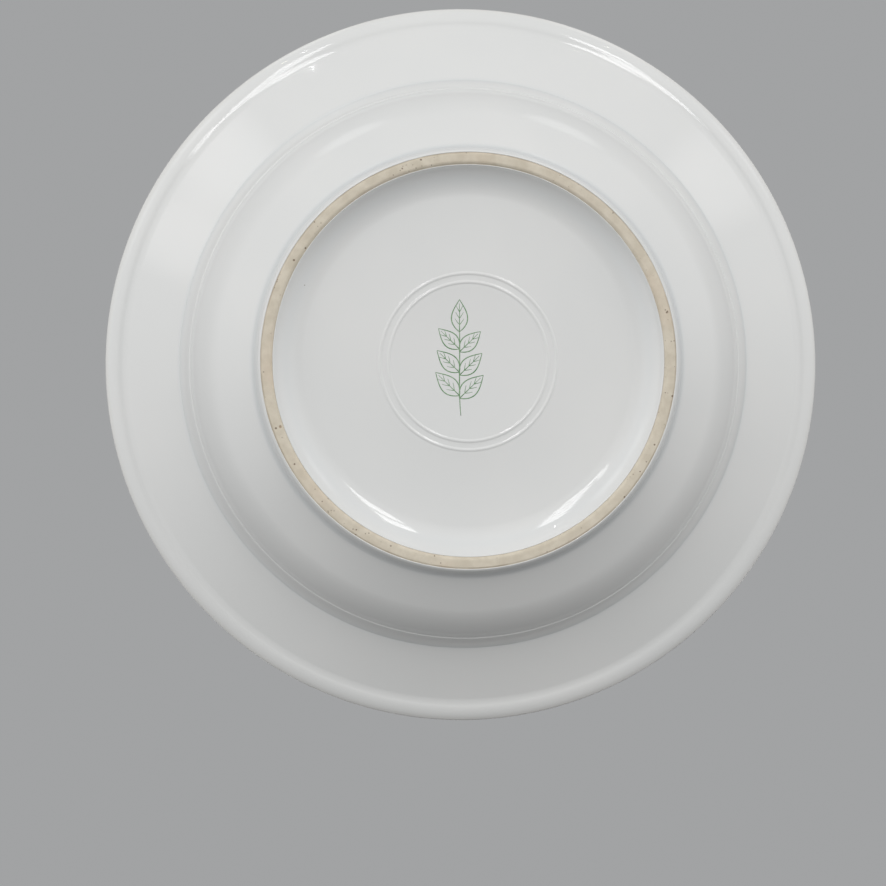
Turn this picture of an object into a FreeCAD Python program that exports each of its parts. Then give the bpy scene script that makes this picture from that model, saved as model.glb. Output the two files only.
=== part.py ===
import FreeCAD, Part
import math
import os
import Sketcher
from FreeCAD import Placement, Rotation, Vector

# Porcelain serving bowl, millimetres. +Z is up, the axis of the bowl is Z, and the foot stands on z = 0.
# Each size below can be changed by itself. The rings of the underside are laid out from the rim inwards,
# the heights of the lip and flange from the rim down, and those of the foot and lower wall from the table up.
# A rounded corner is given by its reach, which is how far the round takes up each of its two straight runs.

DRIVING = {
    "rim_diameter": 250.0,        # over the glaze
    "bowl_height": 46.5,          # over the glaze, to the lip's top corner before it is rounded
    "glaze_coat": 0.3,
    "glaze_line_out": 0.3,        # heights above the table where the glaze is wiped off the foot, outside
    "glaze_line_in": 0.7,         # and inside
    "lip_width": 7.0,
    "lip_thickness": 4.0,
    "lip_flat": 0.2,              # what is left straight between two rounds of the lip
    "lip_rise": 0.15,             # rise of the lip's underside as far as its roll
    "lip_roll_run": 3.0,          # the underside rolls up to the edge over this
    "lip_roll_rise": 2.2,
    "lip_fall": 0.4,              # fall of the lip's top towards the flange
    "lip_bend_under": 1.5,
    "lip_bend_top": 1.7,
    "lip_shift": 0.8,             # the top's bend lies this far inside the bend under it
    "flange_run": 20.7,
    "flange_rise": 9.9,
    "band_run": 4.5,              # narrow band between the wall and the flange, with its ledge
    "band_rise": 6.4,
    "ledge_run": 0.4,             # fine ledge where the wall meets the band
    "ledge_rise": 0.15,
    "ledge_round": 0.14,
    "band_cove": 0.35,
    "upper_wall_run": 4.5,
    "lower_wall_run": 18.9,
    "lower_wall_share": 0.595,    # how much of the wall's rise lies below its bend
    "wall_bend": 8.0,
    "wall_flat": 0.5,             # what is left straight of the wall above that bend
    "foot_flare": 1.8,            # run of the foot's outer flank
    "foot_depth": 5.4,            # the table to the cove over that flank
    "foot_cove": 1.5,
    "foot_edge_run": 1.1,         # the glazed slope between the flank and the bare land
    "foot_edge_rise": 0.9,
    "foot_edge_round": 0.45,
    "foot_width": 2.8,            # the land, before its rounds
    "foot_round_out": 0.3,
    "foot_round_in": 0.62,
    "base_recess": 6.0,
    "base_flare": 4.4,            # run of the foot's inner flank
    "flank_flat": 1.0,            # what is left straight of that flank, between its round and the base's cove
    "floor_thickness": 4.2,
    "floor_bend": 6.0,
    "wall_inset": 2.75,           # the inside of the lower wall is the outside moved in by this
    "wall_lift": 3.0,             # and up by this
    "inside_bend": 8.0,
    "shoulder_shift": 1.5,        # the inside of the shoulder is the outside moved out by this
    "shoulder_lift": 8.9,         # and up by this
    "shoulder_bend": 1.7,
    "inner_bead_radius": 25.75,   # two fine turning beads on the base
    "outer_bead_radius": 28.6,
    "bead_width": 1.1,
    "bead_height": 0.28,
    "bead_foot": 0.2,
    "bead_crown": 0.22,
    "mark_film": 0.05,
    "mark_across": 2.9,           # centre of the mark from the axis, along X and Y
    "mark_along": 1.4,
    "stem_length": 28.0,
    "stem_width": 0.7,
    "stem_round": 0.3,
    "leaf_length": 10.4,
    "leaf_width": 4.4,
    "leaf_angle": 48.0,           # degrees from the stem
    "leaf_start": 6.0,            # the lowest pair of leaves above the stem's foot
    "leaf_pitch": 7.5,
    "leaf_pairs": 3,
    "leaf_root": 0.15,            # a leaf starts this far off the stem's middle, inside its width
    "top_leaf_sink": 0.8,         # the top leaf starts this far below the stem's end
}

# Corners of the section, worked out in the sheet from the sizes above. across is the radius, up is the height.
DERIVED = {
    "rim_across": "rim_diameter / 2 - glaze_coat",
    "lip_top_up": "bowl_height - glaze_coat",
    "lip_round": "(lip_thickness - lip_rise - lip_roll_rise - lip_flat) / 2",
    "lip_root_across": "rim_across - lip_width",
    "lip_root_up": "lip_top_up - lip_thickness",
    "lip_roll_across": "rim_across - lip_roll_run",
    "lip_roll_up": "lip_root_up + lip_rise",
    "lip_roll_before": "lip_width - lip_roll_run - lip_bend_under - lip_flat",
    "lip_roll_after": "sqrt(lip_roll_run ^ 2 + lip_roll_rise ^ 2) - lip_round - lip_flat",
    "lip_roll_bend": "min(lip_roll_before; lip_roll_after)",
    "rim_low_up": "lip_roll_up + lip_roll_rise",
    "band_out_across": "lip_root_across - flange_run",
    "band_out_up": "lip_root_up - flange_rise",
    "band_in_across": "band_out_across - band_run",
    "band_in_up": "band_out_up - band_rise",
    "ledge_across": "band_in_across + ledge_run",
    "ledge_up": "band_in_up + ledge_rise",
    "wall_across": "band_in_across - upper_wall_run",
    "wall_up": "foot_depth + lower_wall_share * (band_in_up - foot_depth)",
    "wall_above": "sqrt(upper_wall_run ^ 2 + (band_in_up - wall_up) ^ 2)",
    "wall_round": "min(wall_bend; wall_above - ledge_round - wall_flat)",
    "cove_across": "wall_across - lower_wall_run",
    "foot_edge_across": "cove_across - foot_flare",
    "foot_out_across": "foot_edge_across - foot_edge_run",
    "foot_in_across": "foot_out_across - foot_width",
    "base_across": "foot_in_across - base_flare",
    "base_cove": "sqrt(base_flare ^ 2 + base_recess ^ 2) - foot_round_in - flank_flat",
    "glaze_out_across": "foot_out_across + glaze_line_out * foot_edge_run / foot_edge_rise",
    "glaze_in_across": "foot_in_across - glaze_line_in * base_flare / base_recess",
    "floor_up": "base_recess + floor_thickness",
    "floor_across": "cove_across - wall_inset",
    "inside_across": "wall_across - wall_inset",
    "inside_up": "wall_up + wall_lift",
    "shoulder_across": "band_in_across + shoulder_shift",
    "shoulder_up": "band_in_up + shoulder_lift",
    "lip_in_across": "lip_root_across - lip_shift",
    "lip_in_up": "lip_top_up - lip_fall",
    "inner_bead_start": "inner_bead_radius - bead_width / 2",
    "inner_bead_end": "inner_bead_radius + bead_width / 2",
    "outer_bead_start": "outer_bead_radius - bead_width / 2",
    "outer_bead_end": "outer_bead_radius + bead_width / 2",
    "bead_up": "base_recess - bead_height",
    "axis_across": "0",
    "table_up": "0",
    "stem_left": "mark_across - stem_width / 2",
    "stem_right": "mark_across + stem_width / 2",
    "stem_foot": "mark_along - (stem_length + leaf_length - top_leaf_sink) / 2",
    "stem_end": "stem_foot + stem_length",
    "leaf_reach": "leaf_length * sin(leaf_angle * 1 deg)",
    "leaf_climb": "leaf_length * cos(leaf_angle * 1 deg)",
    "leaf_bow": "(leaf_length ^ 2 + leaf_width ^ 2) / (4 * leaf_width)",
    "root_along": "stem_foot + leaf_start",
    "tip_along": "root_along + leaf_climb",
    "left_root_across": "mark_across - leaf_root",
    "left_tip_across": "left_root_across - leaf_reach",
    "right_root_across": "mark_across + leaf_root",
    "right_tip_across": "right_root_across + leaf_reach",
    "top_root_along": "stem_end - top_leaf_sink",
    "top_tip_along": "top_root_along + leaf_length",
}

# The section's outline, as the names of (across, up, reach of the round). The foot's land is the flat between
# its two rounds.
BASE_LINE = [
    ("axis_across", "base_recess", None),
    ("inner_bead_start", "base_recess", "bead_foot"),
    ("inner_bead_radius", "bead_up", "bead_crown"),
    ("inner_bead_end", "base_recess", "bead_foot"),
    ("outer_bead_start", "base_recess", "bead_foot"),
    ("outer_bead_radius", "bead_up", "bead_crown"),
    ("outer_bead_end", "base_recess", "bead_foot"),
    ("base_across", "base_recess", "base_cove"),
]
FOOT_LAND = [
    ("foot_in_across", "table_up", "foot_round_in"),
    ("foot_out_across", "table_up", "foot_round_out"),
]
SHELL_LINE = [
    ("foot_edge_across", "foot_edge_rise", "foot_edge_round"),
    ("cove_across", "foot_depth", "foot_cove"),
    ("wall_across", "wall_up", "wall_round"),
    ("band_in_across", "band_in_up", "ledge_round"),
    ("ledge_across", "ledge_up", "ledge_round"),
    ("band_out_across", "band_out_up", "band_cove"),
    ("lip_root_across", "lip_root_up", "lip_bend_under"),
    ("lip_roll_across", "lip_roll_up", "lip_roll_bend"),
    ("rim_across", "rim_low_up", "lip_round"),
    ("rim_across", "lip_top_up", "lip_round"),
    ("lip_in_across", "lip_in_up", "lip_bend_top"),
    ("shoulder_across", "shoulder_up", "shoulder_bend"),
    ("inside_across", "inside_up", "inside_bend"),
    ("floor_across", "floor_up", "floor_bend"),
    ("axis_across", "floor_up", None),
]
GLAZE_OUT_START = ("glaze_out_across", "glaze_line_out", None)
GLAZE_IN_END = ("glaze_in_across", "glaze_line_in", None)

STEM = [
    ("stem_left", "stem_foot", "stem_round"),
    ("stem_right", "stem_foot", "stem_round"),
    ("stem_right", "stem_end", "stem_round"),
    ("stem_left", "stem_end", "stem_round"),
]
LEAF_PAIR = [
    ("left_root_across", "root_along", "left_tip_across", "tip_along"),
    ("right_root_across", "root_along", "right_tip_across", "tip_along"),
]
TOP_LEAF = [("mark_across", "top_root_along", "mark_across", "top_tip_along")]

START, END = 1, 2                 # the sketcher's numbers for the ends of a line or an arc
ORIGIN = -1                       # and for the sketch's own origin

doc = FreeCAD.newDocument("ServingBowl")
sheet = doc.addObject("Spreadsheet::Sheet", "Sizes")


def fill_sheet():
    """Writes the driving sizes as plain numbers and the corners as formulas."""
    row = 1
    for alias, content in list(DRIVING.items()) + [(name, "=" + rule) for name, rule in DERIVED.items()]:
        sheet.set(f"A{row}", alias)
        sheet.setAlias(f"B{row}", alias)
        sheet.set(f"B{row}", str(content))
        row += 1
    doc.recompute()


def size(alias):
    return float(sheet.get(alias))


def bind(obj, path, expression):
    obj.setExpression(path, expression)


def origin_plane(body, role):
    return next(plane for plane in body.Origin.OriginFeatures if plane.Role == role)


def name_constraint(sketch, constraint, name, expression):
    """Adds a constraint, names it and binds it to a cell of the sheet."""
    index = sketch.addConstraint(constraint)
    sketch.renameConstraint(index, name)
    bind(sketch, f"Constraints.{name}", expression)


def pin(sketch, geometry, vertex, name, across, up):
    """Holds a point at the sheet's across and up values."""
    for kind, tag, alias in (("DistanceX", "across", across), ("DistanceY", "up", up)):
        name_constraint(
            sketch,
            Sketcher.Constraint(kind, ORIGIN, START, geometry, vertex, size(alias)),
            f"{name}_{tag}",
            f"Sizes.{alias}",
        )


def round_of(before, corner, after, reach):
    """Ends and centre of a round that takes up reach of each of two straight runs."""
    back, ahead = (before - corner).normalize(), (after - corner).normalize()
    half = back.getAngle(ahead) / 2
    centre = corner + (back + ahead).normalize() * (reach / math.cos(half))
    return corner + back * reach, corner + ahead * reach, centre


def arc_between(first, last, centre):
    """The short arc from first to last, and whether it runs from first to last."""
    circle = Part.Circle(centre, Vector(0, 0, 1), (first - centre).Length)
    start, end = circle.parameter(first), circle.parameter(last)
    forward = (end - start) % (2 * math.pi) < math.pi
    if not forward:
        start, end = end, start
    return Part.ArcOfCircle(circle, start, end), forward


def draw_outline(sketch, corners, closed):
    """Draws straight runs between the named corners, with a tangent arc at each corner that has a round."""
    points = [Vector(size(across), size(up), 0) for across, up, _ in corners]
    count = len(corners)
    starts, ends, centres = list(points), list(points), [None] * count
    for i, (_, _, reach) in enumerate(corners):
        if reach:
            after = points[(i + 1) % count]
            ends[i], starts[i], centres[i] = round_of(points[i - 1], points[i], after, size(reach))
    runs = count if closed else count - 1
    lines = [
        sketch.addGeometry(Part.LineSegment(starts[i], ends[(i + 1) % count]), False) for i in range(runs)
    ]
    for i, (across, up, reach) in enumerate(corners):
        if not closed and i in (0, count - 1):
            line, vertex = (lines[0], START) if i == 0 else (lines[-1], END)
            pin(sketch, line, vertex, f"corner{i}", across, up)
            continue
        before, after = lines[i - 1], lines[i]
        if not reach:
            sketch.addConstraint(Sketcher.Constraint("Coincident", before, END, after, START))
            pin(sketch, after, START, f"corner{i}", across, up)
            continue
        arc_shape, forward = arc_between(ends[i], starts[i], centres[i])
        arc = sketch.addGeometry(arc_shape, False)
        first, last = (START, END) if forward else (END, START)
        sketch.addConstraint(Sketcher.Constraint("Tangent", before, END, arc, first))
        sketch.addConstraint(Sketcher.Constraint("Tangent", arc, last, after, START))
        corner = sketch.addGeometry(Part.Point(points[i]), True)
        sketch.addConstraint(Sketcher.Constraint("PointOnObject", corner, START, before))
        sketch.addConstraint(Sketcher.Constraint("PointOnObject", corner, START, after))
        pin(sketch, corner, START, f"corner{i}", across, up)
        reached = Sketcher.Constraint("Distance", corner, START, arc, first, size(reach))
        name_constraint(sketch, reached, f"round{i}", f"Sizes.{reach}")


def make_porcelain_body():
    """The fired body: one section, turned round the axis."""
    body = doc.addObject("PartDesign::Body", "porcelain_body")
    section = body.newObject("Sketcher::SketchObject", "body_section")
    section.AttachmentSupport = [(origin_plane(body, "XZ_Plane"), "")]
    section.MapMode = "FlatFace"
    draw_outline(section, BASE_LINE + FOOT_LAND + SHELL_LINE, closed=True)
    turned = body.newObject("PartDesign::Revolution", "body_turned")
    turned.Profile = section
    turned.ReferenceAxis = (section, ["V_Axis"])
    turned.Angle = 360
    return body


def make_glaze(name, corners):
    """A glaze coat: the strip between a run of the section's outline and its parallel, turned round the axis."""
    path = doc.addObject("Sketcher::SketchObject", f"{name}_path")
    path.Placement = Placement(Vector(), Rotation(Vector(1, 0, 0), 90))
    draw_outline(path, corners, closed=False)
    doc.recompute()
    strip = doc.addObject("Part::Offset2D", f"{name}_strip")
    strip.Source = path
    strip.Mode = "Skin"
    strip.Join = "Arc"
    strip.Fill = True
    bind(strip, "Value", "-Sizes.glaze_coat")
    coat = doc.addObject("Part::Revolution", name)
    coat.Source = strip
    coat.Axis = Vector(0, 0, 1)
    coat.Angle = 360
    coat.Solid = True
    return coat


def draw_leaf(sketch, name, root_across, root_along, tip_across, tip_along):
    """A leaf: two equal arcs that bow out from its root to its tip."""
    root = Vector(size(root_across), size(root_along), 0)
    tip = Vector(size(tip_across), size(tip_along), 0)
    middle, spine = (root + tip) / 2, tip - root
    across_leaf = Vector(-spine.y, spine.x, 0).normalize()
    bow = size("leaf_bow")
    sides = []
    for side, sign in (("a", 1), ("b", -1)):
        centre = middle + across_leaf * sign * (bow - size("leaf_width") / 2)
        shape, forward = arc_between(root, tip, centre)
        arc = sketch.addGeometry(shape, False)
        sides.append((arc, START, END) if forward else (arc, END, START))
        name_constraint(
            sketch, Sketcher.Constraint("Radius", arc, bow), f"{name}_bow_{side}", "Sizes.leaf_bow"
        )
    (arc_a, root_a, tip_a), (arc_b, root_b, tip_b) = sides
    sketch.addConstraint(Sketcher.Constraint("Coincident", arc_a, root_a, arc_b, root_b))
    sketch.addConstraint(Sketcher.Constraint("Coincident", arc_a, tip_a, arc_b, tip_b))
    pin(sketch, arc_a, root_a, f"{name}_root", root_across, root_along)
    pin(sketch, arc_a, tip_a, f"{name}_tip", tip_across, tip_along)


def film_sketch(body, name):
    """A sketch on the lower face of the printed film, which lies on the base glaze."""
    sketch = body.newObject("Sketcher::SketchObject", name)
    sketch.AttachmentSupport = [(origin_plane(body, "XY_Plane"), "")]
    sketch.MapMode = "FlatFace"
    bind(sketch, "AttachmentOffset.Base.z", "Sizes.base_recess - Sizes.glaze_coat - Sizes.mark_film")
    return sketch


def pad_film(body, sketch, name):
    pad = body.newObject("PartDesign::Pad", name)
    pad.Profile = sketch
    bind(pad, "Length", "Sizes.mark_film")
    return pad


def make_leaf_mark():
    """The print on the base: a stem with pairs of leaves and one leaf at its top."""
    body = doc.addObject("PartDesign::Body", "leaf_mark")
    stem = film_sketch(body, "stem_outline")
    draw_outline(stem, STEM, closed=True)
    pad_film(body, stem, "stem")
    top = film_sketch(body, "top_leaf_outline")
    for leaf in TOP_LEAF:
        draw_leaf(top, "top", *leaf)
    pad_film(body, top, "top_leaf")
    pair = film_sketch(body, "leaf_pair_outline")
    for name, leaf in zip(("left", "right"), LEAF_PAIR):
        draw_leaf(pair, name, *leaf)
    leaves = pad_film(body, pair, "leaf_pair")
    rows = body.newObject("PartDesign::LinearPattern", "leaf_rows")
    rows.Originals = [leaves]
    rows.Direction = (pair, ["V_Axis"])
    rows.Mode = "Extent"
    bind(rows, "Length", "Sizes.leaf_pitch * (Sizes.leaf_pairs - 1)")
    bind(rows, "Occurrences", "Sizes.leaf_pairs")
    body.Tip = rows
    return body


def check(pieces):
    """Stops before anything is written if an object failed or a sub-part isn't whole."""
    for item in doc.Objects:
        if "Invalid" in item.State or "Error" in item.State:
            raise RuntimeError(f"{item.Label} failed: {item.State}")
    for piece in pieces:
        if piece.Shape.isNull() or not piece.Shape.isValid() or len(piece.Shape.Solids) != 1:
            raise RuntimeError(f"{piece.Label} isn't one valid solid")


fill_sheet()
sub_parts = [
    make_porcelain_body(),
    make_glaze("outer_glaze", [GLAZE_OUT_START] + SHELL_LINE),
    make_glaze("base_glaze", BASE_LINE + [GLAZE_IN_END]),
    make_leaf_mark(),
]
doc.recompute()
check(sub_parts)
os.makedirs("parts", exist_ok=True)
for sub_part in sub_parts:
    sub_part.Shape.exportStep(f"parts/{sub_part.Label}.step")
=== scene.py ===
"""Looks of the porcelain serving bowl: body, two glaze coats and the leaf print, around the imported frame."""
import math

import bmesh
import bpy
from mathutils import Matrix, Vector


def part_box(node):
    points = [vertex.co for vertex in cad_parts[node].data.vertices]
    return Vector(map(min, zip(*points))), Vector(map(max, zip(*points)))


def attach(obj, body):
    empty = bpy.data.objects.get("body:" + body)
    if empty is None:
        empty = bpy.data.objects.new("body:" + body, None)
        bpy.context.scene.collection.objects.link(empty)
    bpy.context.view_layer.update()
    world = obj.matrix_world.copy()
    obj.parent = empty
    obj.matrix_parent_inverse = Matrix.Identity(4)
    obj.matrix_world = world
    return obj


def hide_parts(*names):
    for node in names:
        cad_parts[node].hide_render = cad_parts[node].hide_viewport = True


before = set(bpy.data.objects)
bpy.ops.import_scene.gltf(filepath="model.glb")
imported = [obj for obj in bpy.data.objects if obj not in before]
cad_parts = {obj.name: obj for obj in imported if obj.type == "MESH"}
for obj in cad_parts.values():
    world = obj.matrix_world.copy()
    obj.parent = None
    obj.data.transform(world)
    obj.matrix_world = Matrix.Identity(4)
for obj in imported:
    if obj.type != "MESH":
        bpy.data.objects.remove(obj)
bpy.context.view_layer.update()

MM = 0.001

# Main sizes, read from the frame
rim_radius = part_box("porcelain_body")[1].x
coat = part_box("outer_glaze")[1].x - rim_radius
base_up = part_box("base_glaze")[1].z
print_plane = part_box("leaf_mark")[1].z

# Rings of the section, from the rim inwards, and their heights over the table
lip_top = 46.2 * MM
lip_root = rim_radius - 7.0 * MM
lip_root_up = lip_top - 4.0 * MM
lip_roll = rim_radius - 3.0 * MM
lip_roll_up = lip_root_up + 0.15 * MM
rim_low = lip_roll_up + 2.2 * MM
band_out = lip_root - 20.7 * MM
band_out_up = lip_root_up - 9.9 * MM
band_in = band_out - 4.5 * MM
band_in_up = band_out_up - 6.4 * MM
ledge = band_in + 0.4 * MM
ledge_up = band_in_up + 0.15 * MM
foot_depth = 5.4 * MM
wall_mid = band_in - 4.5 * MM
wall_mid_up = foot_depth + 0.595 * (band_in_up - foot_depth)
cove = wall_mid - 18.9 * MM
foot_edge = cove - 1.8 * MM
foot_edge_up = 0.9 * MM
foot_out = foot_edge - 1.1 * MM
foot_in = foot_out - 2.8 * MM
base_edge = foot_in - 4.4 * MM
floor_up = base_up + 4.2 * MM
wall_inset = 2.75 * MM
wall_lift = 3.0 * MM
shoulder_shift = 1.5 * MM
shoulder_lift = 8.9 * MM
lip_shift = 0.8 * MM
lip_fall = 0.4 * MM
glaze_out_up = 0.3 * MM
glaze_out = foot_out + glaze_out_up * (foot_edge - foot_out) / foot_edge_up
glaze_in_up = 0.7 * MM
glaze_in = foot_in - glaze_in_up * (foot_in - base_edge) / base_up

bead_inner = 25.75 * MM
bead_outer = 28.6 * MM
bead_half = 0.55 * MM
bead_up = base_up - 0.28 * MM

SPIN_STEPS = 300
MERGE_DISTANCE = 0.002 * MM

# The section's corners, each by its radius, height, reach of the round and segments of the round
BASE_LINE = [
    (0, base_up, 0, 0),
    (bead_inner - bead_half, base_up, 0.20 * MM, 3),
    (bead_inner, bead_up, 0.22 * MM, 4),
    (bead_inner + bead_half, base_up, 0.20 * MM, 3),
    (bead_outer - bead_half, base_up, 0.20 * MM, 3),
    (bead_outer, bead_up, 0.22 * MM, 4),
    (bead_outer + bead_half, base_up, 0.20 * MM, 3),
    (base_edge, base_up, 5.82 * MM, 20),
]
FOOT_LAND = [
    (foot_in, 0, 0.62 * MM, 6),
    (foot_out, 0, 0.30 * MM, 4),
]
SHELL_LINE = [
    (foot_edge, foot_edge_up, 0.45 * MM, 4),
    (cove, foot_depth, 1.5 * MM, 9),
    (wall_mid, wall_mid_up, 8.0 * MM, 20),
    (band_in, band_in_up, 0.14 * MM, 3),
    (ledge, ledge_up, 0.14 * MM, 3),
    (band_out, band_out_up, 0.35 * MM, 5),
    (lip_root, lip_root_up, 1.5 * MM, 8),
    (lip_roll, lip_roll_up, 2.3 * MM, 9),
    (rim_radius, rim_low, 0.725 * MM, 7),
    (rim_radius, lip_top, 0.725 * MM, 7),
    (lip_root - lip_shift, lip_top - lip_fall, 1.7 * MM, 8),
    (band_in + shoulder_shift, band_in_up + shoulder_lift, 1.7 * MM, 8),
    (wall_mid - wall_inset, wall_mid_up + wall_lift, 8.0 * MM, 16),
    (cove - wall_inset, floor_up, 6.0 * MM, 14),
    (0, floor_up, 0, 0),
]
GLAZE_OUT_START = (glaze_out, glaze_out_up, 0, 0)
GLAZE_IN_END = (glaze_in, glaze_in_up, 0, 0)


# ---------------------------------------------------------------- mesh helpers

def finish_piece(bm, name, material, node):
    """Turns a bmesh into a smooth piece that rides on the bowl, and hides its CAD node."""
    mesh = bpy.data.meshes.new(name)
    bm.to_mesh(mesh)
    bm.free()
    for face in mesh.polygons:
        face.use_smooth = True
    piece = bpy.data.objects.new(name, mesh)
    bpy.context.scene.collection.objects.link(piece)
    mesh.materials.append(material)
    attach(piece, "root")
    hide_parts(node)
    return piece


def turned(corners):
    """Rounds a section's corners with vertex bevels and spins it round the axis."""
    bm = bmesh.new()
    verts = [bm.verts.new((across, 0, up)) for across, up, _, _ in corners]
    for pair in zip(verts, verts[1:]):
        bm.edges.new(pair)
    for vert, (_, _, reach, segments) in zip(verts, corners):
        if reach:
            bmesh.ops.bevel(
                bm, geom=[vert], offset=reach, offset_type="OFFSET", segments=segments,
                profile=0.5, affect="VERTICES", material=-1,
            )
    bmesh.ops.spin(
        bm, geom=bm.verts[:] + bm.edges[:], axis=(0, 0, 1), cent=(0, 0, 0),
        angle=math.tau, steps=SPIN_STEPS, use_merge=True,
    )
    bmesh.ops.remove_doubles(bm, verts=bm.verts[:], dist=MERGE_DISTANCE)
    bmesh.ops.recalc_face_normals(bm, faces=bm.faces[:])
    lowest = min(bm.faces, key=lambda face: face.calc_center_median().z)
    if lowest.normal.z > 0:
        bmesh.ops.reverse_faces(bm, faces=bm.faces[:])
    return bm


# ---------------------------------------------------------------- materials

class Sock:
    """A number or a shader socket that can be written in sums."""

    def __init__(self, nodes, value):
        self.nodes = nodes
        self.value = value

    def math(self, operation, *others, clamp=False):
        settings = {"operation": operation, "use_clamp": clamp}
        node = self.nodes.node("ShaderNodeMath", settings, dict(enumerate((self, *others))))
        return Sock(self.nodes, node.outputs[0])

    def __add__(self, other):
        return self.math("ADD", other)

    __radd__ = __add__

    def __mul__(self, other):
        return self.math("MULTIPLY", other)

    __rmul__ = __mul__

    def __sub__(self, other):
        return self.math("SUBTRACT", other)

    def __rsub__(self, other):
        return Sock(self.nodes, other).math("SUBTRACT", self)

    def clamp(self):
        return self.math("ADD", 0.0, clamp=True)

    def step(self, low, high):
        """0 below low and 1 above high, smooth between; turned round if low is above high."""
        ends = (low, high, 0.0, 1.0) if low < high else (high, low, 1.0, 0.0)
        settings = {"interpolation_type": "SMOOTHSTEP"}
        node = self.nodes.node("ShaderNodeMapRange", settings, dict(enumerate((self, *ends))))
        return Sock(self.nodes, node.outputs[0])

    def ring(self, centre, half_width):
        """1 on a ring at that radius, fading to 0 at half_width either side."""
        return (self - centre).math("ABSOLUTE").step(half_width, 0.0)


class Nodes:
    """A node tree and the means to add nodes to it."""

    def __init__(self, tree):
        self.tree = tree

    def node(self, kind, settings=None, sockets=None):
        """Adds a node: its settings first, then its sockets, by name or number, each a value or a link."""
        node = self.tree.nodes.new(kind)
        for key, given in (settings or {}).items():
            setattr(node, key, given)
        self.feed(node, sockets or {})
        return node

    def feed(self, node, sockets):
        """Gives a node's sockets their values or links."""
        for key, given in sockets.items():
            given = given.value if isinstance(given, Sock) else given
            if isinstance(given, bpy.types.NodeSocket):
                self.tree.links.new(given, node.inputs[key])
            else:
                node.inputs[key].default_value = given


class Finish(Nodes):
    """A material built on its shader, with the patterns the porcelain needs."""

    def __init__(self, name):
        self.material = bpy.data.materials.new(name)
        self.material.use_nodes = True
        super().__init__(self.material.node_tree)
        self.shader = self.tree.nodes["Principled BSDF"]
        self.place = self.node("ShaderNodeTexCoord").outputs["Object"]

    def noise(self, scale, detail=2.0, roughness=0.5):
        """Cloudy variation from 0 to 1, about scale waves to the metre."""
        sockets = {"Vector": self.place, "Scale": scale, "Detail": detail, "Roughness": roughness}
        return Sock(self, self.node("ShaderNodeTexNoise", None, sockets).outputs[0])

    def spots(self, scale, size, share):
        """Round spots in a share of the cells: scale cells to the metre, and size as a part of a cell."""
        cells = self.node("ShaderNodeTexVoronoi", None, {"Vector": self.place, "Scale": scale})
        chosen = self.node("ShaderNodeSeparateColor", None, {"Color": cells.outputs["Color"]}).outputs[0]
        keep = Sock(self, chosen).step(share, share * 0.98)
        return Sock(self, cells.outputs["Distance"]).step(size, size * 0.45) * keep

    def mix(self, factor, first, second):
        return self.node("ShaderNodeMix", {"data_type": "RGBA"}, {0: factor, 6: first, 7: second}).outputs[2]

    def up_and_around(self):
        """The height over the table and the distance from the axis."""
        split = self.node("ShaderNodeSeparateXYZ", None, {"Vector": self.place})
        x, y, up = (Sock(self, out) for out in split.outputs)
        return up, (x * x + y * y).math("SQRT")

    def bump(self, height, distance, strength=1.0, under=None):
        sockets = {"Height": height, "Strength": strength, "Distance": distance}
        if under:
            sockets["Normal"] = under
        return self.node("ShaderNodeBump", None, sockets).outputs[0]

    def set(self, sockets):
        self.feed(self.shader, sockets)


def glaze(name):
    """Clear glossy glaze on white porcelain: cooler and darker in the foot cove, at the band and round the
    edge of the base, partly glaze that pools there and partly painted shade; warm where it thins, a few iron
    spots.
    """
    finish = Finish(name)
    up, around = finish.up_and_around()
    # Partly glaze that pools and partly painted shade: the glaze is made cooler and darker in the foot cove,
    # at the band and round the edge of the base
    pool_and_shade_in_cove = around.ring(cove + coat, 2.2 * MM) * up.step(9 * MM, 4 * MM)
    pool_and_shade_at_band = around.ring(band_out, 1.6 * MM) * 0.6
    pool_and_shade_in_base = around.ring(base_edge - 1 * MM, 4.0 * MM) * up.step(6 * MM, 3.5 * MM) * 0.5
    pool_and_shade = (pool_and_shade_in_cove + pool_and_shade_at_band + pool_and_shade_in_base).clamp()
    thin = around.step(rim_radius - 2.2 * MM, rim_radius + 0.2 * MM)
    cloud = finish.noise(16.0, 3.0, 0.55)
    white = finish.mix(cloud.step(0.3, 0.7), (0.800, 0.803, 0.792, 1), (0.775, 0.783, 0.775, 1))
    white = finish.mix(pool_and_shade * 0.55, white, (0.70, 0.735, 0.75, 1))
    white = finish.mix(thin * 0.35, white, (0.83, 0.815, 0.775, 1))
    iron = finish.spots(95.0, 0.022, 0.035)
    white = finish.mix(iron * 0.75, white, (0.20, 0.13, 0.08, 1))
    smear = finish.noise(60.0, 4.0, 0.6)
    finish.set({"Base Color": white, "Roughness": 0.045 + 0.05 * smear.step(0.45, 0.75), "IOR": 1.52})
    swell = finish.bump(finish.noise(38.0, 1.0, 0.4), 0.1 * MM, 0.6)
    peel = finish.bump(finish.noise(520.0, 2.0, 0.5), 0.006 * MM, 0.5, swell)
    finish.set({"Normal": peel})
    return finish.material


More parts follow.
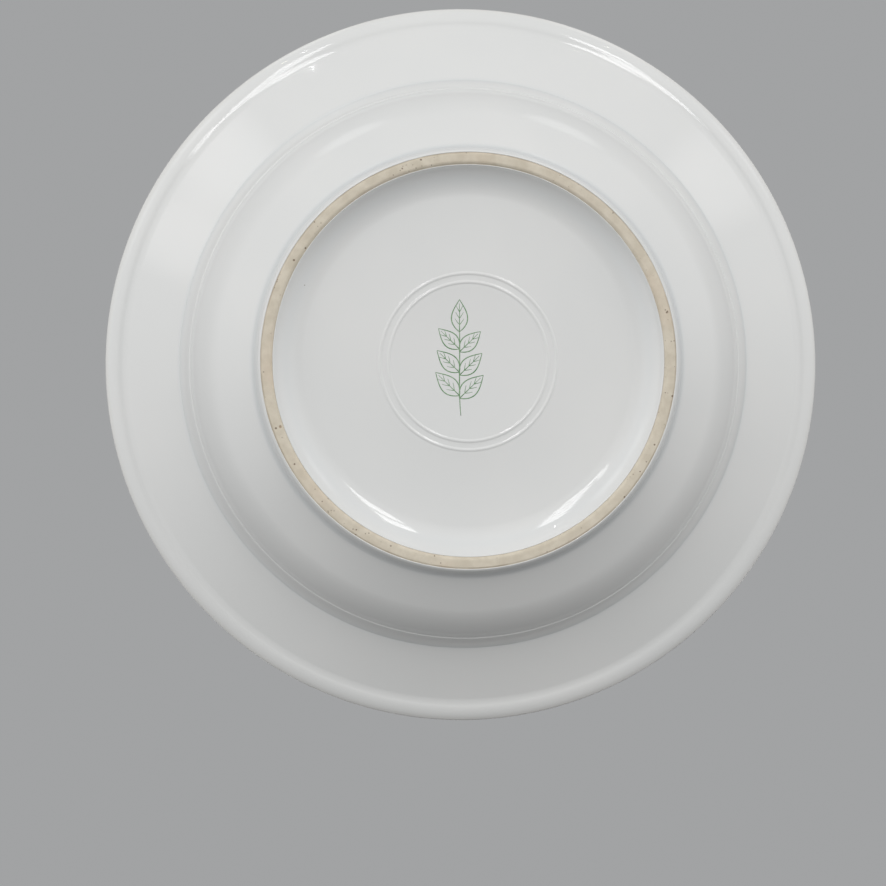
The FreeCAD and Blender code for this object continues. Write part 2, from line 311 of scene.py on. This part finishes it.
def bare_porcelain():
    """The wiped foot: dry, fine-grained, warm beige, with brown specks and a burnt line beside the glaze."""
    finish = Finish("bare_porcelain")
    _, around = finish.up_and_around()
    mottle = finish.noise(210.0, 4.0, 0.6)
    beige = finish.mix(mottle.step(0.3, 0.7), (0.73, 0.665, 0.55, 1), (0.63, 0.565, 0.455, 1))
    flash = finish.noise(28.0, 2.0, 0.5)
    beige = finish.mix(flash.step(0.5, 0.75) * 0.5, beige, (0.75, 0.61, 0.47, 1))
    burnt = around.ring(foot_out + 0.15 * MM, 0.35 * MM) * finish.noise(90.0).step(0.35, 0.6)
    beige = finish.mix(burnt * 0.35, beige, (0.26, 0.18, 0.11, 1))
    crowd = finish.noise(70.0, 2.0, 0.5).step(0.45, 0.65)
    specks = (finish.spots(1000.0, 0.30, 0.30) * crowd + finish.spots(520.0, 0.24, 0.10)).clamp()
    stains = finish.spots(150.0, 0.10, 0.16)
    beige = finish.mix(specks * 0.85, beige, (0.16, 0.10, 0.06, 1))
    beige = finish.mix(stains * 0.7, beige, (0.30, 0.19, 0.10, 1))
    finish.set({"Base Color": beige, "Roughness": 0.62 + 0.2 * mottle, "IOR": 1.45})
    grain = finish.bump(finish.noise(1600.0, 3.0, 0.7), 0.04 * MM, 0.7)
    pits = finish.bump(1 - (specks + stains).clamp(), 0.1 * MM, 0.8, grain)
    finish.set({"Normal": pits})
    return finish.material


def green_print():
    """Green ink under the glaze, broken and pale where it took badly."""
    finish = Finish("green_print")
    worn = finish.noise(900.0, 4.0, 0.7)
    patch = finish.noise(120.0, 2.0, 0.5)
    cover = (worn.step(0.42, 0.62) * 0.55 + patch.step(0.35, 0.65) * 0.45).clamp()
    ink = finish.mix(cover, (0.09, 0.25, 0.09, 1), (0.30, 0.44, 0.27, 1))
    finish.set({"Base Color": ink, "Roughness": 0.07 + 0.05 * worn, "IOR": 1.52})
    return finish.material


# ---------------------------------------------------------------- pieces

WIPED_EDGE_ROUND = 0.11 * MM

# One side of a leaf: share of the way to its tip, share of its half width, and the line's weight there
LEAF_SIDE = [
    (0.00, 0.00, 0.80),
    (0.10, 0.62, 1.00),
    (0.34, 1.32, 1.15),
    (0.68, 0.92, 1.00),
    (0.90, 0.26, 0.80),
    (1.00, 0.00, 0.60),
]
VEIN_ROOTS = (0.22, 0.42, 0.62)

# The sprig in shares of its height: the stem across, up and its line's weight, then where the leaves stand
STEM = [
    (-0.012, 0.00, 0.70),
    (0.012, 0.22, 1.25),
    (-0.008, 0.48, 1.10),
    (0.000, 0.74, 0.90),
]
LEAF_PAIRS = (0.16, 0.36, 0.56)
PAIR_STAGGER = 0.012
CROWN = 0.72
LEAF_LENGTH = 0.277
LEAF_WIDTH = 0.125
LEAF_LEAN = 46
LINE_HALF_WIDTH = 0.16 * MM
LINE_FLATNESS = 0.12
LINE_SINK = 0.01 * MM


def make_body():
    """The fired body, from the middle of the base round the foot and the lip to the middle of the well."""
    bm = turned(BASE_LINE + FOOT_LAND + SHELL_LINE)
    finish_piece(bm, "porcelain_body_turned", bare_porcelain(), "porcelain_body")


def make_glaze(node, corners):
    """A coat laid on the body: a spun skin given the glaze's thickness, its wiped edges rounded."""
    name = f"{node}_coat"
    piece = finish_piece(turned(corners), name, glaze(name), node)
    skin = piece.modifiers.new("coat", "SOLIDIFY")
    skin.thickness = coat
    skin.offset = 1.0
    skin.use_even_offset = True
    edge = piece.modifiers.new("edge", "BEVEL")
    edge.width = WIPED_EDGE_ROUND
    edge.segments = 3
    edge.limit_method = "ANGLE"
    edge.angle_limit = math.radians(55)


def leaf_lines(root, tip, width):
    """A leaf in line: its midrib, its two sides and three pairs of veins, as lists of points and weights."""
    spine = tip - root
    side = Vector((-spine.y, spine.x, 0)).normalized() * width / 2
    lines = [([root, tip - spine * 0.12], [1.0, 0.45])]
    for sign in (-1, 1):
        outline = [root + spine * along + side * sign * across for along, across, _ in LEAF_SIDE]
        lines.append((outline, [weight for _, _, weight in LEAF_SIDE]))
        for share in VEIN_ROOTS:
            foot = root + spine * share
            end = root + spine * (share + 0.19) + side * sign * (0.62 - 0.4 * (share - VEIN_ROOTS[0]))
            bend = foot.lerp(end, 0.55) - spine * 0.02
            lines.append(([foot, bend, end], [0.75, 0.6, 0.35]))
    return lines


def sprig_lines(foot, height):
    """A waving stem, pairs of leaves a little out of step that shrink upwards, and one leaf at the crown."""
    stem = [foot + Vector((across, up, 0)) * height for across, up, _ in STEM]
    lines = [(stem, [weight for _, _, weight in STEM])]
    leaf_length = height * LEAF_LENGTH
    leaf_width = height * LEAF_WIDTH
    lean = math.radians(LEAF_LEAN)
    for share in LEAF_PAIRS:
        shrink = 1.08 - 0.3 * share
        for sign in (-1, 1):
            root = foot + Vector((0, share + PAIR_STAGGER * sign, 0)) * height
            reach = Vector((sign * math.sin(lean), math.cos(lean), 0)) * leaf_length * shrink
            lines += leaf_lines(root, root + reach, leaf_width * shrink)
    crown = foot + Vector((0, CROWN, 0)) * height
    lines += leaf_lines(crown, crown + Vector((0, leaf_length, 0)), leaf_width)
    return lines


def drawn(lines):
    """Closed round strokes along the lines, as thick as their weights say."""
    curve = bpy.data.curves.new("sprig_lines", "CURVE")
    curve.dimensions = "3D"
    curve.bevel_depth = LINE_HALF_WIDTH
    curve.bevel_resolution = 1
    curve.use_fill_caps = True
    curve.resolution_u = 8
    for points, weights in lines:
        spline = curve.splines.new("NURBS")
        spline.points.add(len(points) - 1)
        for knot, point, weight in zip(spline.points, points, weights):
            knot.co = (*point, 1)
            knot.radius = weight
        spline.order_u = min(4, len(points))
        spline.use_endpoint_u = True
    holder = bpy.data.objects.new("sprig_lines", curve)
    bm = bmesh.new()
    bm.from_mesh(bpy.data.meshes.new_from_object(holder))
    bpy.data.objects.remove(holder)
    bpy.data.curves.remove(curve)
    return bm


def make_print():
    """A sprig drawn in fine lines, flat on the base glaze."""
    low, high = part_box("leaf_mark")
    foot = Vector(((low.x + high.x) / 2, low.y, 0))
    bm = drawn(sprig_lines(foot, high.y - low.y))
    flat = Matrix.Diagonal((1, 1, LINE_FLATNESS, 1))
    on_glaze = Matrix.Translation((0, 0, print_plane - LINE_SINK))
    bmesh.ops.transform(bm, matrix=on_glaze @ flat, verts=bm.verts[:])
    bmesh.ops.remove_doubles(bm, verts=bm.verts[:], dist=MERGE_DISTANCE)
    bmesh.ops.recalc_face_normals(bm, faces=bm.faces[:])
    finish_piece(bm, "leaf_print_lines", green_print(), "leaf_mark")


# ---------------------------------------------------------------- studio

FLOOR_REACH = 9.0
FLOOR_DROP = 0.1 * MM
BACKDROP_GREY = (0.36, 0.365, 0.37, 1)
PANE_SHARE = 0.8


def softbox(name, place, width, height, power, colour, upward):
    """A rectangular lamp at place that shines at the bowl, its height along upward, and isn't seen itself."""
    data = bpy.data.lights.new(name, "AREA")
    data.shape = "RECTANGLE"
    data.size = width
    data.size_y = height
    data.energy = power
    data.color = colour
    lamp = bpy.data.objects.new(name, data)
    bpy.context.scene.collection.objects.link(lamp)
    forward = -place.normalized()
    right = forward.cross(upward).normalized()
    turn = Matrix((right, right.cross(forward), -forward)).transposed()
    lamp.matrix_world = Matrix.Translation(place) @ turn.to_4x4()
    lamp.visible_camera = False
    return lamp


def make_floor():
    """A pale floor under the foot, seen only from above, so that the underside can be seen through it."""
    bm = bmesh.new()
    bmesh.ops.create_grid(bm, x_segments=1, y_segments=1, size=FLOOR_REACH)
    bmesh.ops.translate(bm, verts=bm.verts[:], vec=(0, 0, -FLOOR_DROP))
    mesh = bpy.data.meshes.new("floor")
    bm.to_mesh(mesh)
    bm.free()
    floor = bpy.data.objects.new("floor", mesh)
    bpy.context.scene.collection.objects.link(floor)
    finish = Finish("pale_floor")
    pale = finish.mix(finish.noise(40.0, 3.0), (0.60, 0.605, 0.61, 1), (0.64, 0.645, 0.65, 1))
    finish.set({"Base Color": pale, "Roughness": 0.7})
    back = finish.node("ShaderNodeNewGeometry").outputs["Backfacing"]
    clear = finish.node("ShaderNodeBsdfTransparent").outputs[0]
    blend = finish.node("ShaderNodeMixShader", None, {0: back, 1: finish.shader.outputs[0], 2: clear})
    finish.feed(finish.tree.nodes["Material Output"], {"Surface": blend.outputs[0]})
    mesh.materials.append(finish.material)
    floor.visible_diffuse = False
    floor.visible_glossy = False
    floor.visible_transmission = False
    floor.visible_shadow = False


# Rings of broad glows in the room, round the line to the viewer: lean off it in degrees, number of glows,
# strength of one, the share of it at mid height, how much that share gains towards the upper side, and its
# dip at the very top. GLOW_TURN turns that upper side a little, and GLOW_REACH is a glow's half width
GLOW_RINGS = [
    (30, 6, 0.32, 0.60, 0.40, 0.0),
    (60, 12, 0.69, 0.97, 1.52, 0.82),
    (90, 12, 0.38, 0.97, 1.52, 0.75),
    (120, 4, 0.03, 0.97, 1.52, 0.0),
]
GLOW_TURN = 5
GLOW_REACH = 42

# Single glows, as lean, turn, strength and reach in degrees: the ceiling over the bowl, then the narrower
# ones that show as soft patches on the flange and the wall
SINGLE_GLOWS = [
    (180, 0, 0.42, 85),
    (64.5, 136, 1.3, 10),
    (63.5, 152, 1.0, 9),
    (68, 37, 0.9, 10),
    (90, 114, 1.0, 11),
    (92, 66, 1.0, 11),
]


def viewer_direction(lean, turn):
    """A direction leaning off the line to the viewer, turned anticlockwise from the viewer's right."""
    lean = math.radians(lean)
    turn = math.radians(turn)
    return Vector((-math.sin(lean) * math.cos(turn), math.sin(lean) * math.sin(turn), -math.cos(lean)))


def make_world():
    """A plain grey backdrop to the eye; as light, soft glows from all round, strongest in front and above."""
    world = bpy.data.worlds.new("studio")
    bpy.context.scene.world = world
    world.use_nodes = True
    world.node_tree.nodes.clear()
    nodes = Nodes(world.node_tree)
    place = nodes.node("ShaderNodeTexCoord").outputs["Generated"]
    total = Sock(nodes, 0.0)
    glows = list(SINGLE_GLOWS)
    for lean, count, strength, stand, swing, dip in GLOW_RINGS:
        for turn in range(0, 360, 360 // count):
            rise = math.sin(math.radians(turn - GLOW_TURN))
            glow = strength * (min(max(stand + swing * rise, 0.0), 1.0) - dip * max(rise, 0.0))
            if glow > 0:
                glows.append((lean, turn, glow, GLOW_REACH))
    for lean, turn, glow, reach in glows:
        sockets = {0: place, 1: viewer_direction(lean, turn)}
        along = nodes.node("ShaderNodeVectorMath", {"operation": "DOT_PRODUCT"}, sockets)
        total += Sock(nodes, along.outputs["Value"]).step(math.cos(math.radians(reach)), 1.0) * glow
    light = nodes.node("ShaderNodeBackground", None, {"Color": (1, 1, 1, 1), "Strength": total})
    seen = nodes.node("ShaderNodeBackground", None, {"Color": BACKDROP_GREY})
    camera_ray = nodes.node("ShaderNodeLightPath").outputs["Is Camera Ray"]
    blend = nodes.node("ShaderNodeMixShader", None, {0: camera_ray, 1: light.outputs[0], 2: seen.outputs[0]})
    nodes.node("ShaderNodeOutputWorld", None, {"Surface": blend.outputs[0]})


def lamp_at(name, lean, turn, width, height, radiance, colour=(1, 1, 1), panes=1, twist=0, distance=2.0,
            glossy=True):
    """A softbox by its direction from the bowl as the viewer sees it, in panes set in a row outwards."""
    away = viewer_direction(lean, turn)
    outward = Matrix.Rotation(math.radians(twist), 3, away) @ viewer_direction(lean + 90, turn)
    pitch = height / panes
    for number in range(panes):
        place = away * distance + outward * ((number + 0.5) * pitch - height / 2)
        tall = pitch * (1 if panes == 1 else PANE_SHARE)
        power = radiance * math.pi * width * tall
        lamp = softbox(f"{name}_{number}", place, width, tall, power, colour, outward)
        lamp.visible_glossy = glossy


def make_lights():
    """Windows and small lamps in front, two lamps above: name, lean, turn, width, height and radiance."""
    lamp_at("window_left", 35, 117, 0.26, 1.02, 6.0, panes=5, twist=-13)
    lamp_at("window_right", 36, 60, 0.28, 0.88, 6.0, panes=2, twist=22)
    lamp_at("window_far", 30, 133.5, 0.10, 0.30, 4.0)
    lamp_at("lamp_left", 64.7, 113.6, 0.02, 0.09, 25.0, panes=2)
    lamp_at("lamp_left_warm", 63.8, 117.3, 0.028, 0.028, 25.0, (1, 0.96, 0.78))
    lamp_at("lamp_right", 66.0, 64.3, 0.026, 0.026, 25.0, (1, 0.97, 0.85))
    lamp_at("lamp_right_far", 65.9, 68.6, 0.018, 0.018, 25.0, (1, 0.97, 0.85))
    lamp_at("top_key", 173, 40, 0.24, 0.24, 60.0, distance=1.5)
    lamp_at("top_fill", 150, 220, 0.9, 0.9, 3.0, distance=1.5, glossy=False)


def make_camera():
    """The camera looks up at the foot, a little from one side, with +Y at the top of its view."""
    data = bpy.data.cameras.new("camera")
    data.sensor_width = 36.0
    data.lens = 56.8
    data.clip_start = 0.01
    data.clip_end = 50
    camera = bpy.data.objects.new("camera", data)
    bpy.context.scene.collection.objects.link(camera)
    bpy.context.scene.camera = camera
    lean_across = math.radians(1.70)
    lean_up = math.radians(1.02)
    right = Vector((-math.cos(lean_across), 0, -math.sin(lean_across)))
    upward = Vector((-math.tan(lean_up) * math.sin(lean_across), math.cos(lean_up), math.sin(lean_up)))
    upward = (upward - right * upward.dot(right)).normalized()
    forward = upward.cross(right)
    foot_right = 8.41 * MM
    foot_up = 26.21 * MM
    foot_away = 446.8 * MM
    place = -(right * foot_right + upward * foot_up + forward * foot_away)
    turn = Matrix((right, upward, -forward)).transposed()
    camera.matrix_world = Matrix.Translation(place) @ turn.to_4x4()


make_body()
make_glaze("outer_glaze", [GLAZE_OUT_START] + SHELL_LINE)
make_glaze("base_glaze", BASE_LINE + [GLAZE_IN_END])
make_print()
make_floor()
make_world()
make_lights()
make_camera()
bpy.context.scene.view_settings.view_transform = "Standard"
